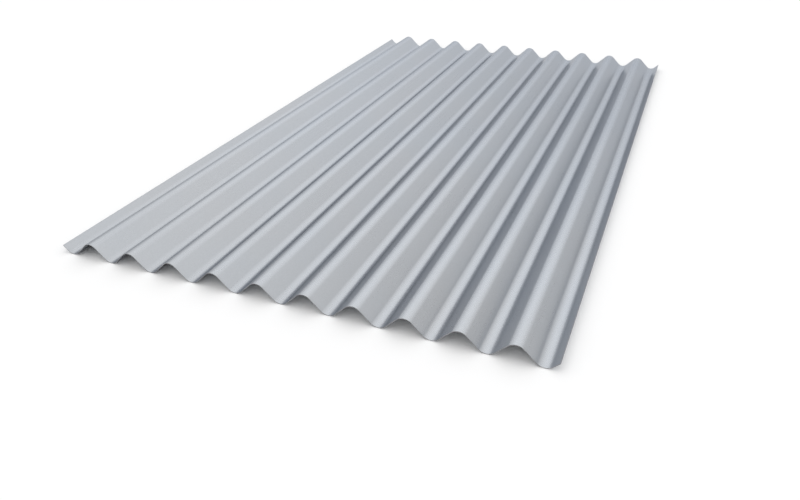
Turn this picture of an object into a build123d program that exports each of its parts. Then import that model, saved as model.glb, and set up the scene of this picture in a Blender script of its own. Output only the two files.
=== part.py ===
"""Corrugated steel sheet: one flat sheet rolled into even, round-topped waves.

Frame: X across the corrugations, Y along them, Z up. The origin is the centre of
the sheet on the surface that it lies on. All sizes are in millimetres.
"""

from build123d import *

import os
from math import atan2, cos, degrees, radians, sin

# Driving dimensions of the sheet
length = 1219.2
thickness = 0.8
crest_count = 10

# Driving dimensions of the wave, measured at the middle of the metal's thickness
pitch = 67.8
depth = 22.2
flank = 21.0
edge_lip = 10.5

# The bends take up what the straight flanks leave of the pitch and the depth
flank_angle = 2 * degrees(atan2(depth, pitch / 2 + flank))
bend_radius = ((pitch / 2) ** 2 + depth**2 - flank**2) / (4 * depth)

# Run and rise of half a bend, and of the straight lip between the last bend and a long edge
bend_run = bend_radius * sin(radians(flank_angle))
bend_rise = bend_radius * (1 - cos(radians(flank_angle)))
lip_run = edge_lip * cos(radians(flank_angle))
lip_rise = edge_lip * sin(radians(flank_angle))

# The sheet starts and ends with a trough, so it has one trough more than it has crests
bend_count = 2 * crest_count + 1
first_trough_x = -crest_count * pitch / 2
left_edge_x = first_trough_x - bend_run - lip_run
left_edge_z = thickness / 2 + bend_rise + lip_rise


def draw_face(side):
    """Draw the upper face (side 1) or the lower face (side -1) of the wave, from left to right.

    Both faces share each bend's centre, so the metal is equally thick all along the wave.
    """
    offset = side * thickness / 2
    left_end = (
        left_edge_x + offset * sin(radians(flank_angle)),
        left_edge_z + offset * cos(radians(flank_angle)),
    )
    straight = PolarLine(left_end, edge_lip, angle=-flank_angle)
    for bend in range(bend_count):
        curl = 1 if bend % 2 == 0 else -1
        arc = JernArc(straight @ 1, straight % 1, bend_radius - curl * offset, 2 * curl * flank_angle)
        run = flank if bend < bend_count - 1 else edge_lip
        straight = PolarLine(arc @ 1, run, direction=arc % 1)
    return left_end, straight @ 1


# The sheet: the wave's section, drawn across the corrugations and run along them
with BuildPart() as corrugated_sheet:
    with BuildSketch(Plane.XZ) as section:
        with BuildLine() as outline:
            upper_left, upper_right = draw_face(1)
            lower_left, lower_right = draw_face(-1)
            Line(upper_left, lower_left)
            Line(upper_right, lower_right)
        make_face()
    extrude(amount=length / 2, both=True)
corrugated_sheet.part.label = "corrugated_sheet"

os.makedirs("parts", exist_ok=True)
export_step(corrugated_sheet.part, "parts/corrugated_sheet.step")

print(f"overall width {corrugated_sheet.part.bounding_box().size.X:.1f} mm")
print(f"bend radius {bend_radius:.2f} mm, flank at {flank_angle:.2f} degrees")
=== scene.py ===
"""Looks of a corrugated steel sheet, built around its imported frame.

The sheet is rolled again at a fine resolution from the profile of the frame's solid: a strip of steel is
bent down and up across its width, given its gauge and eased along its cut edges. Its weathered zinc coat,
its underside and its sheared edges are three finishes. All lengths are in metres, and the scales of
patterns are per metre.
"""

import logging
from dataclasses import dataclass, field
from enum import Enum, IntEnum
from math import atan2, cos, pi, radians, sin

import bmesh
import bpy
from mathutils import Matrix, Vector


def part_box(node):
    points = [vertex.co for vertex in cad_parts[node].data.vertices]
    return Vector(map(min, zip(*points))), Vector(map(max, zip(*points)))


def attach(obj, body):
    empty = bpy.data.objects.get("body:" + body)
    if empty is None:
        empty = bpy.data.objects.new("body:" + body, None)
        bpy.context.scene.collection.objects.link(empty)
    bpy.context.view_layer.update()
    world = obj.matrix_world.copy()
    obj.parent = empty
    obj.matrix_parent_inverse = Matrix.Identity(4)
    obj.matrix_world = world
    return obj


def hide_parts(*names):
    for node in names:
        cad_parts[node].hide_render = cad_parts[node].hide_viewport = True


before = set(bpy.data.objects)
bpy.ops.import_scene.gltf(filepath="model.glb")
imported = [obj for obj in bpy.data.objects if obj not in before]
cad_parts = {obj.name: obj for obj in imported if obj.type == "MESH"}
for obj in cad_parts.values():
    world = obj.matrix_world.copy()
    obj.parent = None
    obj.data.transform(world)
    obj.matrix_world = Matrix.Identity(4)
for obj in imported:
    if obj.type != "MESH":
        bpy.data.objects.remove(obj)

LOG = logging.getLogger("corrugated_sheet")
MILLIMETRE = 0.001

Triple = tuple[float, float, float]


class Curl(IntEnum):
    """Which way a bend turns on its way across the sheet."""

    TROUGH = 1
    CREST = -1


class SheetFace(IntEnum):
    """The sheet's faces, numbered as its material slots are."""

    UPPER = 0
    LOWER = 1
    CUT = 2


class SocketKind(Enum):
    """Kinds of socket that a shared effect has."""

    VALUE = "NodeSocketFloat"
    VECTOR = "NodeSocketVector"


class NodeBoard:
    """Lays nodes into one node tree and wires them up.

    The Mix node's colour sockets go by number, because its other sockets have the same names.
    """

    first_colour = 6
    second_colour = 7
    mixed_colour = 2

    def __init__(self, tree: bpy.types.NodeTree) -> None:
        """Start on the node tree that the nodes go into."""
        self.tree = tree

    def add(
        self, kind: str, inputs: dict[str | int, object] | None = None, **settings: object
    ) -> bpy.types.Node:
        """Add a node.

        Args:
            kind: the node's type name.
            inputs: a value, or a socket to wire in, for each input by name or number.
            **settings: the node's own options.

        Returns:
            The new node.
        """
        node = self.tree.nodes.new(kind)
        for option, value in settings.items():
            setattr(node, option, value)
        for key, value in (inputs or {}).items():
            self.feed(node.inputs[key], value)
        return node

    def feed(self, target: bpy.types.NodeSocket, value: object) -> None:
        """Wire a socket into an input, or set the input to a value.

        Args:
            target: the input.
            value: a socket, or a plain value.
        """
        if isinstance(value, bpy.types.NodeSocket):
            self.tree.links.new(value, target)
        else:
            target.default_value = value

    def math(self, operation: str, first: object, second: object = 0.0) -> bpy.types.NodeSocket:
        """Work out one number from two, each a value or a socket."""
        return self.add("ShaderNodeMath", {0: first, 1: second}, operation=operation).outputs[0]

    def vector(self, operation: str, *terms: object) -> bpy.types.NodeSocket:
        """Work out one vector from others, each a value or a socket."""
        return self.add("ShaderNodeVectorMath", dict(enumerate(terms)), operation=operation).outputs[0]

    def scaled(self, vector: object, factor: object) -> bpy.types.NodeSocket:
        """Scale a vector or a colour by one number."""
        return self.add("ShaderNodeVectorMath", {0: vector, "Scale": factor}, operation="SCALE").outputs[0]

    def total(self, start: object, *terms: tuple[object, object]) -> bpy.types.NodeSocket:
        """Add weighted terms to a number.

        Args:
            start: the number, or its socket.
            *terms: pairs of a socket and its weight.

        Returns:
            The sum's socket.
        """
        result = start
        for socket, weight in terms:
            inputs = {0: socket, 1: weight, 2: result}
            result = self.add("ShaderNodeMath", inputs, operation="MULTIPLY_ADD").outputs[0]
        return result

    def signed(self, socket: bpy.types.NodeSocket) -> bpy.types.NodeSocket:
        """Turn a number from 0 to 1 into one from -1 to 1."""
        return self.total(-1.0, (socket, 2.0))

    def ramp(
        self, socket: bpy.types.NodeSocket, low: object, high: object, start: float = 0.0, end: float = 1.0
    ) -> bpy.types.NodeSocket:
        """Ease a number from one range to another, with its ends held.

        Args:
            socket: the number's socket.
            low: where the range begins.
            high: where the range ends.
            start: the result at low.
            end: the result at high.

        Returns:
            The result's socket.
        """
        inputs = {0: socket, 1: low, 2: high, 3: start, 4: end}
        node = self.add("ShaderNodeMapRange", inputs, interpolation_type="SMOOTHSTEP")
        return node.outputs[0]

    def noise(self, place: object, scale: object, detail: float = 2.0) -> bpy.types.NodeSocket:
        """Lay out soft noise from 0 to 1, with spots of about one over the scale across."""
        return self.add("ShaderNodeTexNoise", {"Vector": place, "Scale": scale, "Detail": detail}).outputs[0]

    def stretched(self, place: object, turn: float, scale: Triple) -> bpy.types.NodeSocket:
        """Turn a place about the vertical and then scale it along each axis."""
        turned = self.add("ShaderNodeMapping", {"Vector": place, "Rotation": (0.0, 0.0, turn)}).outputs[0]
        return self.add("ShaderNodeMapping", {"Vector": turned, "Scale": scale}).outputs[0]

    def mixed(self, share: object, first: Triple, second: Triple) -> bpy.types.NodeSocket:
        """Mix two colours, by the share of the second one.

        Args:
            share: the share, or its socket.
            first: the colour at a share of 0.
            second: the colour at a share of 1.

        Returns:
            The mixed colour's socket.
        """
        inputs = {0: share, self.first_colour: (*first, 1.0), self.second_colour: (*second, 1.0)}
        node = self.add("ShaderNodeMix", inputs, data_type="RGBA", clamp_factor=True)
        return node.outputs[self.mixed_colour]


class SharedEffect:
    """A node group that more than one finish uses, built on its first use."""

    name: str
    inputs: tuple[tuple[str, SocketKind], ...]
    outputs: tuple[tuple[str, SocketKind], ...]

    def group(self) -> bpy.types.NodeTree:
        """Find the node group, or build it.

        Returns:
            The node group.
        """
        found = bpy.data.node_groups.get(self.name)
        if found:
            return found
        tree = bpy.data.node_groups.new(self.name, "ShaderNodeTree")
        for label, kind in self.inputs:
            tree.interface.new_socket(name=label, in_out="INPUT", socket_type=kind.value)
        for label, kind in self.outputs:
            tree.interface.new_socket(name=label, in_out="OUTPUT", socket_type=kind.value)
        board = NodeBoard(tree)
        given = board.add("NodeGroupInput").outputs
        board.add("NodeGroupOutput", self.wire(board, given))
        return tree

    def wire(self, board: NodeBoard, given: bpy.types.NodeOutputs) -> dict[str, bpy.types.NodeSocket]:
        """Lay out the effect's nodes and give the socket for each output by name."""
        raise NotImplementedError

    def place_in(self, board: NodeBoard, **values: object) -> bpy.types.NodeOutputs:
        """Put the effect into a material.

        Args:
            board: the board of the material's tree.
            **values: a value or a socket for each input, with _ for a space in its name.

        Returns:
            The effect's outputs.
        """
        node = board.add("ShaderNodeGroup", node_tree=self.group())
        for label, value in values.items():
            board.feed(node.inputs[label.replace("_", " ")], value)
        return node.outputs


class ZincSpangle(SharedEffect):
    """Crystals of the zinc coat: each has its own tone, gloss and lean, and a frayed outline."""

    name = "zinc_spangle"
    inputs = (
        ("Place", SocketKind.VECTOR),
        ("Crystal", SocketKind.VALUE),
        ("Lean", SocketKind.VALUE),
    )
    outputs = (
        ("Tone", SocketKind.VALUE),
        ("Gloss", SocketKind.VALUE),
        ("Normal", SocketKind.VECTOR),
    )
    frayed_by = 0.3 * MILLIMETRE
    fray_scale = 1800.0
    fray_detail = 2.0
    middle = (0.5, 0.5, 0.5)

    def wire(self, board: NodeBoard, given: bpy.types.NodeOutputs) -> dict[str, bpy.types.NodeSocket]:
        """Lay out the crystals.

        Args:
            board: the board of the group's tree.
            given: the group's inputs, as sockets.

        Returns:
            The socket for each output by name.
        """
        fray = {"Vector": given["Place"], "Scale": self.fray_scale, "Detail": self.fray_detail}
        shift = board.vector("SUBTRACT", board.add("ShaderNodeTexNoise", fray).outputs["Color"], self.middle)
        frayed = board.vector("MULTIPLY_ADD", shift, (self.frayed_by,) * 3, given["Place"])
        per_metre = board.math("DIVIDE", 1.0, given["Crystal"])
        lot = board.add("ShaderNodeTexVoronoi", {"Vector": frayed, "Scale": per_metre}).outputs["Color"]
        shares = board.add("ShaderNodeSeparateColor", {0: lot}).outputs
        lean = board.scaled(board.vector("SUBTRACT", lot, self.middle), given["Lean"])
        facing = board.add("ShaderNodeNewGeometry").outputs["Normal"]
        return {
            "Tone": board.signed(shares[0]),
            "Gloss": board.signed(shares[1]),
            "Normal": board.vector("NORMALIZE", board.vector("ADD", facing, lean)),
        }


class RollLines(SharedEffect):
    """Fine lines that the forming rolls leave along the corrugations."""

    name = "roll_lines"
    inputs = (("Place", SocketKind.VECTOR), ("Spacing", SocketKind.VALUE), ("Run", SocketKind.VALUE))
    outputs = (("Line", SocketKind.VALUE),)

    def wire(self, board: NodeBoard, given: bpy.types.NodeOutputs) -> dict[str, bpy.types.NodeSocket]:
        """Lay out the lines.

        Args:
            board: the board of the group's tree.
            given: the group's inputs, as sockets.

        Returns:
            The socket for each output by name.
        """
        across = board.math("DIVIDE", 1.0, given["Spacing"])
        along = board.math("DIVIDE", 1.0, given["Run"])
        scale = board.add("ShaderNodeCombineXYZ", {0: across, 1: along, 2: across}).outputs[0]
        place = board.vector("MULTIPLY", given["Place"], scale)
        return {"Line": board.signed(board.noise(place, 1.0))}


class Clouding(SharedEffect):
    """Broad, soft patches where a surface is a little duller or brighter, and others where its hue shifts."""

    name = "clouding"
    inputs = (("Place", SocketKind.VECTOR), ("Patch", SocketKind.VALUE))
    outputs = (("Cloud", SocketKind.VALUE), ("Hue", SocketKind.VALUE))
    cloud_detail = 4.0
    hue_offset = (7.3, 2.1, 4.9)

    def wire(self, board: NodeBoard, given: bpy.types.NodeOutputs) -> dict[str, bpy.types.NodeSocket]:
        """Lay out the patches.

        Args:
            board: the board of the group's tree.
            given: the group's inputs, as sockets.

        Returns:
            The socket for each output by name.
        """
        per_metre = board.math("DIVIDE", 1.0, given["Patch"])
        cloud = board.noise(given["Place"], per_metre, self.cloud_detail)
        elsewhere = board.vector("ADD", given["Place"], self.hue_offset)
        return {"Cloud": board.signed(cloud), "Hue": board.noise(elsewhere, per_metre)}


class HandlingScuffs(SharedEffect):
    """Sparse hair scratches from sliding sheet on sheet, most of them nearly along the corrugations.

    The noise hardly ever reaches its peak, so that a share of 0 leaves no scratch.
    """

    name = "handling_scuffs"
    inputs = (("Place", SocketKind.VECTOR), ("Share", SocketKind.VALUE))
    outputs = (("Scuff", SocketKind.VALUE),)
    turns = (radians(4.0), radians(-7.0), radians(31.0))
    hair_scale = (1500.0, 22.0, 1500.0)
    noise_peak = 0.80
    hair_edge = 0.03
    rub_scale = 9.0
    rub_start = 0.42
    rub_full = 0.62

    def wire(self, board: NodeBoard, given: bpy.types.NodeOutputs) -> dict[str, bpy.types.NodeSocket]:
        """Lay out the scratches.

        Args:
            board: the board of the group's tree.
            given: the group's inputs, as sockets.

        Returns:
            The socket for each output by name.
        """
        threshold = board.math("SUBTRACT", self.noise_peak, given["Share"])
        full = board.math("ADD", threshold, self.hair_edge)
        found = 0.0
        for turn in self.turns:
            place = board.stretched(given["Place"], turn, self.hair_scale)
            hairs = board.noise(place, 1.0, 0.0)
            found = board.math("MAXIMUM", found, board.ramp(hairs, threshold, full))
        rubbed = board.ramp(board.noise(given["Place"], self.rub_scale), self.rub_start, self.rub_full)
        return {"Scuff": board.math("MULTIPLY", found, rubbed)}


class WaveZones(SharedEffect):
    """Where on the wave a point is: high on a crest, low in a trough, or near the sheet's own edge."""

    name = "wave_zones"
    inputs = (
        ("Place", SocketKind.VECTOR),
        ("Height", SocketKind.VALUE),
        ("Half Width", SocketKind.VALUE),
        ("Half Length", SocketKind.VALUE),
    )
    outputs = (("Crest", SocketKind.VALUE), ("Trough", SocketKind.VALUE), ("Border", SocketKind.VALUE))
    band = 3.5 * MILLIMETRE
    border_start = 2.0 * MILLIMETRE
    border_end = 5.0 * MILLIMETRE
    ragged_by = 4.0 * MILLIMETRE
    ragged_scale = 160.0

    def wire(self, board: NodeBoard, given: bpy.types.NodeOutputs) -> dict[str, bpy.types.NodeSocket]:
        """Lay out the zones.

        Args:
            board: the board of the group's tree.
            given: the group's inputs, as sockets.

        Returns:
            The socket for each output by name.
        """
        across, along, up = board.add("ShaderNodeSeparateXYZ", {0: given["Place"]}).outputs
        crest = board.ramp(up, board.math("SUBTRACT", given["Height"], self.band), given["Height"])
        trough = board.ramp(up, 0.0, self.band, 1.0, 0.0)
        to_side = board.math("SUBTRACT", given["Half Width"], board.math("ABSOLUTE", across))
        to_end = board.math("SUBTRACT", given["Half Length"], board.math("ABSOLUTE", along))
        ragged = board.noise(given["Place"], self.ragged_scale)
        inward = board.total(board.math("MINIMUM", to_side, to_end), (ragged, self.ragged_by))
        border = board.ramp(inward, self.border_start, self.border_end, 1.0, 0.0)
        return {"Crest": crest, "Trough": trough, "Border": border}


def start_material(name: str) -> tuple[bpy.types.Material, NodeBoard, bpy.types.Node]:
    """Start a material.

    Args:
        name: the material's name.

    Returns:
        The material, the board of its tree and its shader.
    """
    material = bpy.data.materials.new(name)
    material.use_nodes = True
    return material, NodeBoard(material.node_tree), material.node_tree.nodes["Principled BSDF"]


@dataclass(frozen=True)
class ZincCoat:
    """The zinc coat of one face of the sheet."""

    name: str
    colour: Triple
    cool: Triple
    roughness: float
    metallic: float = 1.0
    grazing_tint: Triple = (0.555, 0.57, 0.60)
    crystal: float = 1.1 * MILLIMETRE
    lean: float = 0.011
    crystal_tone: float = 0.028
    crystal_gloss: float = 0.028
    line_spacing: float = 3.0 * MILLIMETRE
    line_run: float = 350.0 * MILLIMETRE
    line_tone: float = 0.018
    line_gloss: float = 0.030
    line_depth: float = 0.004 * MILLIMETRE
    cloud_patch: float = 160.0 * MILLIMETRE
    cloud_tone: float = 0.030
    cloud_gloss: float = 0.045
    scuff_share: float = 0.05
    scuff_tone: float = 0.07
    band_tone: float = 0.015
    band_gloss: float = -0.040
    border_tone: float = -0.045
    ripple_depth: float = 0.25 * MILLIMETRE
    ripple_scale: float = 7.0
    ripple_detail: float = 1.0

    def build(self, half_width: float, half_length: float, height: float) -> bpy.types.Material:
        """Make the material.

        Args:
            half_width: half of the sheet's width.
            half_length: half of the sheet's length.
            height: the height of the sheet's crests.

        Returns:
            The material.
        """
        material, board, shader = start_material(self.name)
        place = board.add("ShaderNodeTexCoord").outputs["Object"]

        spangle = ZincSpangle().place_in(board, Place=place, Crystal=self.crystal, Lean=self.lean)
        line = RollLines().place_in(board, Place=place, Spacing=self.line_spacing, Run=self.line_run)["Line"]
        broad = Clouding().place_in(board, Place=place, Patch=self.cloud_patch)
        scuff = HandlingScuffs().place_in(board, Place=place, Share=self.scuff_share)["Scuff"]
        zones = WaveZones().place_in(
            board, Place=place, Height=height, Half_Width=half_width, Half_Length=half_length
        )
        band = board.math("MAXIMUM", zones["Crest"], zones["Trough"])

        tone = board.total(
            1.0,
            (spangle["Tone"], self.crystal_tone),
            (line, self.line_tone),
            (broad["Cloud"], self.cloud_tone),
            (scuff, self.scuff_tone),
            (band, self.band_tone),
            (zones["Border"], self.border_tone),
        )
        hue = board.mixed(broad["Hue"], self.colour, self.cool)
        board.feed(shader.inputs["Base Color"], board.scaled(hue, tone))

        roughness = board.total(
            self.roughness,
            (spangle["Gloss"], self.crystal_gloss),
            (line, self.line_gloss),
            (broad["Cloud"], self.cloud_gloss),
            (band, self.band_gloss),
        )
        board.feed(shader.inputs["Roughness"], roughness)
        shader.inputs["Metallic"].default_value = self.metallic
        shader.inputs["Specular Tint"].default_value = (*self.grazing_tint, 1.0)

        ripple = board.noise(place, self.ripple_scale, self.ripple_detail)
        relief = board.total(0.0, (line, self.line_depth), (ripple, self.ripple_depth))
        # The relief is in metres already, so the bump takes it one to one
        bump = board.add("ShaderNodeBump", {"Distance": 1.0, "Height": relief, "Normal": spangle["Normal"]})
        board.feed(shader.inputs["Normal"], bump.outputs[0])
        return material


@dataclass(frozen=True)
class ShearedSteel:
    """Bare steel where the shears and the slitter cut through: burnished spots among torn ones."""

    name: str
    burnished: Triple
    torn: Triple
    roughness: float = 0.46
    metallic: float = 0.9
    grain: float = 0.09 * MILLIMETRE
    grain_depth: float = 0.02 * MILLIMETRE
    grain_tear: float = 0.9
    patch: float = 14.0 * MILLIMETRE
    patch_tear: float = 0.8
    patch_gloss: float = 0.12
    torn_share: float = 0.5

    def build(self) -> bpy.types.Material:
        """Make the material.

        Returns:
            The material.
        """
        material, board, shader = start_material(self.name)
        place = board.add("ShaderNodeTexCoord").outputs["Object"]
        grain = board.noise(place, 1.0 / self.grain)
        patch = Clouding().place_in(board, Place=place, Patch=self.patch)["Cloud"]
        tear = board.total(self.torn_share, (board.signed(grain), self.grain_tear), (patch, self.patch_tear))
        board.feed(shader.inputs["Base Color"], board.mixed(tear, self.burnished, self.torn))
        board.feed(shader.inputs["Roughness"], board.total(self.roughness, (patch, self.patch_gloss)))
        shader.inputs["Metallic"].default_value = self.metallic
        bump = board.add("ShaderNodeBump", {"Distance": self.grain_depth, "Height": grain})
        board.feed(shader.inputs["Normal"], bump.outputs[0])
        return material


@dataclass(frozen=True)
class FloorPaint:
    """The matt white paint of the studio's floor."""

    name: str = "floor_paint"
    colour: Triple = (0.97, 0.97, 0.97)
    roughness: float = 0.9
    shine: float = 0.0

    def build(self) -> bpy.types.Material:
        """Make the material.

        Returns:
            The material.
        """
        material, _, shader = start_material(self.name)
        shader.inputs["Base Color"].default_value = (*self.colour, 1.0)
        shader.inputs["Roughness"].default_value = self.roughness
        shader.inputs["Specular IOR Level"].default_value = self.shine
        return material


@dataclass(frozen=True)
class WaveProfile:
    """The wave across the sheet, measured at the middle of the metal's thickness."""

    pitch: float = 67.8 * MILLIMETRE
    depth: float = 22.2 * MILLIMETRE
    flank: float = 21.0 * MILLIMETRE
    edge_lip: float = 10.5 * MILLIMETRE
    thickness: float = 0.8 * MILLIMETRE
    crest_count: int = 10

    @property
    def slope(self) -> float:
        """Give the slope of the straight flanks, in radians."""
        return 2 * atan2(self.depth, self.pitch / 2 + self.flank)

    @property
    def bend_radius(self) -> float:
        """Give the radius that each bend needs so that the flanks run into it smoothly."""
        return ((self.pitch / 2) ** 2 + self.depth**2 - self.flank**2) / (4 * self.depth)

    @property
    def curls(self) -> list[Curl]:
        """List the bends from the left edge to the right: a trough first and last."""
        return [Curl.TROUGH] + [Curl.CREST, Curl.TROUGH] * self.crest_count

    @property
    def runs(self) -> list[float]:
        """List the straight runs after each bend: the flanks, and last the lip at the right edge."""
        return [self.flank] * (len(self.curls) - 1) + [self.edge_lip]

    @property
    def height(self) -> float:
        """Give the height of the crests over the surface that the sheet lies on."""
        return self.depth + self.thickness

    @property
    def left_bend_start(self) -> Vector:
        """Give the point where the left lip runs into the first trough.

        Returns:
            The point, at the middle of the metal's thickness.
        """
        first_trough = -self.crest_count * self.pitch / 2
        rise = self.bend_radius * (1 - cos(self.slope))
        return Vector((first_trough - self.bend_radius * sin(self.slope), 0.0, self.thickness / 2 + rise))


@dataclass
class CorrugatedSheet:
    """The sheet, rolled from a flat strip and dressed on its three kinds of face."""

    name: str = "rolled_sheet"
    node: str = "corrugated_sheet"
    profile: WaveProfile = field(default_factory=WaveProfile)
    steps_per_bend: int = 24
    spans_along: int = 24
    on_edge_within: float = 0.08 * MILLIMETRE
    weld_within: float = 0.008 * MILLIMETRE
    arris: float = 0.12 * MILLIMETRE
    arris_segments: int = 2
    arris_from: float = radians(60.0)
    sharp_from: float = radians(35.0)
    upper: ZincCoat = ZincCoat(
        "zinc_upper", colour=(0.503, 0.512, 0.528), cool=(0.480, 0.506, 0.538), roughness=0.31
    )
    lower: ZincCoat = ZincCoat(
        "zinc_lower", colour=(0.500, 0.512, 0.530), cool=(0.485, 0.510, 0.545), roughness=0.38, line_tone=0.03
    )
    cut: ShearedSteel = ShearedSteel("sheared_steel", burnished=(0.42, 0.42, 0.43), torn=(0.16, 0.16, 0.165))

    def build(self) -> bpy.types.Object:
        """Make the sheet and hang it on the frame.

        Returns:
            The finished piece.
        """
        low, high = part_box(self.node)
        sheet = self.lay_left_lip(high[1] - low[1])
        self.roll_wave(sheet)
        self.dress(sheet, (high[0] - low[0]) / 2, (high[1] - low[1]) / 2)
        self.give_gauge(sheet)
        self.ease_arrises(sheet)
        self.shade(sheet)
        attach(sheet, "root")
        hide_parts(self.node)
        return sheet

    def lay_left_lip(self, length: float) -> bpy.types.Object:
        """Lay the first strip of metal, which slopes down from the left edge to the first trough.

        Args:
            length: the sheet's length.

        Returns:
            The strip, with its place in its mesh.
        """
        wave = self.profile
        towards_edge = Vector((-cos(wave.slope), 0.0, sin(wave.slope)))
        middle = wave.left_bend_start + towards_edge * wave.edge_lip / 2
        bpy.ops.object.select_all(action="DESELECT")
        bpy.ops.mesh.primitive_grid_add(
            x_subdivisions=1,
            y_subdivisions=self.spans_along,
            size=1,
            location=middle,
            rotation=(0, wave.slope, 0),
        )
        sheet = bpy.context.object
        sheet.name = self.name
        sheet.data.name = self.name
        sheet.scale = (wave.edge_lip, length, 1)
        bpy.ops.object.transform_apply(location=True, rotation=True, scale=True)
        return sheet

    def roll_wave(self, sheet: bpy.types.Object) -> None:
        """Roll the wave on from the strip's right edge, bend by bend.

        Args:
            sheet: the strip.
        """
        wave = self.profile
        bpy.ops.object.mode_set(mode="EDIT")
        bpy.ops.mesh.select_mode(type="EDGE")
        bpy.ops.mesh.select_all(action="DESELECT")
        cage = bmesh.from_edit_mesh(sheet.data)
        right = max(vertex.co.x for vertex in cage.verts)
        for edge in cage.edges:
            edge.select_set(all(right - vertex.co.x < self.on_edge_within for vertex in edge.verts))
        bmesh.update_edit_mesh(sheet.data)

        start = wave.left_bend_start
        across_bend = Vector((2 * wave.bend_radius * sin(wave.slope), 0.0, 0.0))
        for curl, run in zip(wave.curls, wave.runs):
            centre = start + Vector((sin(wave.slope), 0.0, curl * cos(wave.slope))) * wave.bend_radius
            turn = curl * 2 * wave.slope
            bpy.ops.mesh.spin(steps=self.steps_per_bend, angle=turn, center=centre, axis=(0, 1, 0))
            step = Vector((cos(wave.slope), 0.0, curl * sin(wave.slope))) * run
            bpy.ops.mesh.extrude_edges_move(TRANSFORM_OT_translate={"value": step})
            start = start + across_bend + step
        bpy.ops.mesh.select_all(action="SELECT")
        bpy.ops.mesh.remove_doubles(threshold=self.weld_within)
        bpy.ops.object.mode_set(mode="OBJECT")

    def dress(self, sheet: bpy.types.Object, half_width: float, half_length: float) -> None:
        """Give each kind of face its finish, in the order of SheetFace.

        Args:
            sheet: the rolled sheet.
            half_width: half of the sheet's width.
            half_length: half of the sheet's length.
        """
        height = self.profile.height
        sheet.data.materials.clear()
        sheet.data.materials.append(self.upper.build(half_width, half_length, height))
        sheet.data.materials.append(self.lower.build(half_width, half_length, height))
        sheet.data.materials.append(self.cut.build())

    def give_gauge(self, sheet: bpy.types.Object) -> None:
        """Give the rolled surface the metal's thickness, half to each side.

        Args:
            sheet: the rolled sheet.
        """
        gauge = sheet.modifiers.new("gauge", "SOLIDIFY")
        gauge.thickness = self.profile.thickness
        gauge.offset = 0.0
        gauge.use_even_offset = True
        gauge.material_offset = SheetFace.LOWER
        gauge.material_offset_rim = SheetFace.CUT
        bpy.ops.object.modifier_apply(modifier=gauge.name)

    def ease_arrises(self, sheet: bpy.types.Object) -> None:
        """Round the sharp corners that run all round the cut edges.

        Args:
            sheet: the thick sheet.
        """
        easing = sheet.modifiers.new("arris", "BEVEL")
        easing.width = self.arris
        easing.segments = self.arris_segments
        easing.limit_method = "ANGLE"
        easing.angle_limit = self.arris_from
        bpy.ops.object.modifier_apply(modifier=easing.name)

    def shade(self, sheet: bpy.types.Object) -> None:
        """Shade bends smoothly while the straight flanks stay flat.

        Args:
            sheet: the eased sheet.
        """
        bpy.ops.object.shade_smooth_by_angle(angle=self.sharp_from)
        weighting = sheet.modifiers.new("flat_flanks", "WEIGHTED_NORMAL")
        weighting.keep_sharp = True
        bpy.ops.object.modifier_apply(modifier=weighting.name)


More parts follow.
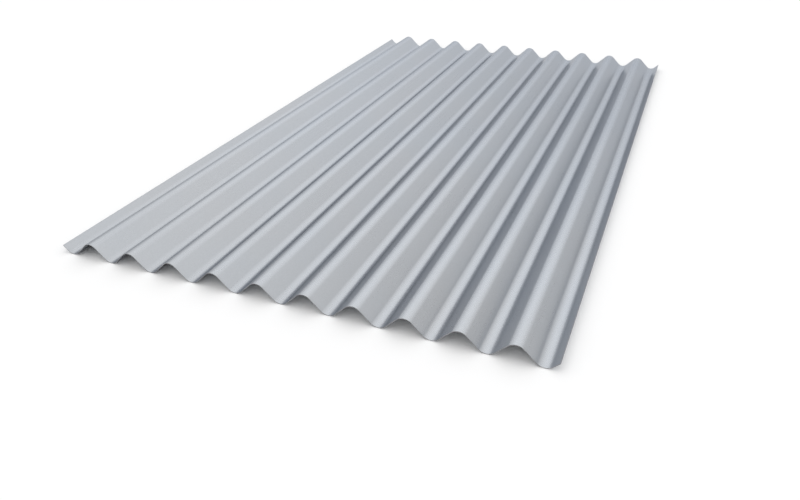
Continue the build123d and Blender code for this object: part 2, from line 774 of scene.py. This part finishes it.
@dataclass
class Studio:
    """The pale floor, the soft light around it and the camera.

    A rise is the sine of a height over the horizon: 0 is level and 1 is straight up.
    """

    floor_side: float = 600.0
    floor_gap: float = 0.1 * MILLIMETRE
    floor_paint: FloorPaint = FloorPaint()
    horizon: float = 0.73
    horizon_rise: float = 0.1
    zenith: float = 1.10
    zenith_rise: float = 0.75
    haze: float = 0.30
    haze_top: float = radians(8.0)
    window: Triple = (0.315, 0.345, 0.385)
    window_azimuth: float = radians(98.0)
    window_height: float = radians(12.0)
    window_spread: float = radians(44.0)
    camera_place: Triple = (0.4249, -1.2374, 0.5215)
    camera_yaw: float = radians(-22.44)
    camera_pitch: float = radians(30.81)
    camera_roll: float = radians(-0.57)
    focal_pixels: float = 710.0
    picture_width: float = 800.0
    film_width: float = 36.0

    @property
    def towards_window(self) -> Vector:
        """Give the direction from the sheet to the window's middle."""
        level = Vector((cos(self.window_azimuth), sin(self.window_azimuth), 0.0)) * cos(self.window_height)
        return level + Vector((0.0, 0.0, sin(self.window_height)))

    def lay_floor(self) -> bpy.types.Object:
        """Lay the floor just under the sheet.

        Returns:
            The floor.
        """
        bpy.ops.object.select_all(action="DESELECT")
        bpy.ops.mesh.primitive_plane_add(size=self.floor_side, location=(0, 0, -self.floor_gap))
        floor = bpy.context.object
        floor.name = "floor"
        floor.data.materials.append(self.floor_paint.build())
        return floor

    def light(self) -> None:
        """Surround the floor with soft light: dim walls, a bright ceiling, low haze and a wide window."""
        world = bpy.data.worlds.new("soft_room")
        bpy.context.scene.world = world
        world.use_nodes = True
        board = NodeBoard(world.node_tree)
        towards = board.add("ShaderNodeTexCoord").outputs["Generated"]
        rise = board.add("ShaderNodeSeparateXYZ", {0: towards}).outputs[2]
        room = board.ramp(rise, self.horizon_rise, self.zenith_rise, self.horizon, self.zenith)
        hazy = board.ramp(rise, sin(self.haze_top / 2), sin(self.haze_top), 1.0, 0.0)
        room = board.total(room, (hazy, self.haze))
        even = board.add("ShaderNodeCombineXYZ", {0: room, 1: room, 2: room}).outputs[0]
        facing = board.add(
            "ShaderNodeVectorMath", {0: towards, 1: self.towards_window}, operation="DOT_PRODUCT"
        )
        lit = board.ramp(facing.outputs["Value"], cos(self.window_spread), 1.0)
        total = board.vector("ADD", even, board.scaled(self.window, lit))
        board.feed(world.node_tree.nodes["Background"].inputs["Color"], total)

    def stand_camera(self) -> bpy.types.Object:
        """Stand the camera where the photograph was taken from.

        Returns:
            The camera.
        """
        lens = bpy.data.cameras.new("camera")
        lens.sensor_width = self.film_width
        lens.lens = self.focal_pixels * self.film_width / self.picture_width
        lens.clip_end = 2 * self.floor_side
        camera = bpy.data.objects.new("camera", lens)
        bpy.context.scene.collection.objects.link(camera)
        turn = Matrix.Rotation(-self.camera_yaw, 3, "Z")
        tilt = Matrix.Rotation(pi / 2 - self.camera_pitch, 3, "X")
        roll = Matrix.Rotation(self.camera_roll, 3, "Z")
        camera.location = self.camera_place
        camera.rotation_euler = (turn @ tilt @ roll).to_euler()
        bpy.context.scene.camera = camera
        return camera

    def build(self) -> None:
        """Set up the floor, the light and the camera."""
        self.lay_floor()
        self.light()
        self.stand_camera()
        bpy.context.scene.view_settings.view_transform = "Standard"


def main() -> None:
    """Build the sheet and the studio, and report each piece."""
    logging.basicConfig(level=logging.INFO, format="%(name)s: %(message)s")
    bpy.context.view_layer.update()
    sheet = CorrugatedSheet().build()
    LOG.info("%s has %d faces", sheet.name, len(sheet.data.polygons))
    Studio().build()
    LOG.info("studio is set, camera lens %.2f mm", bpy.context.scene.camera.data.lens)


if __name__ == "__main__":
    main()
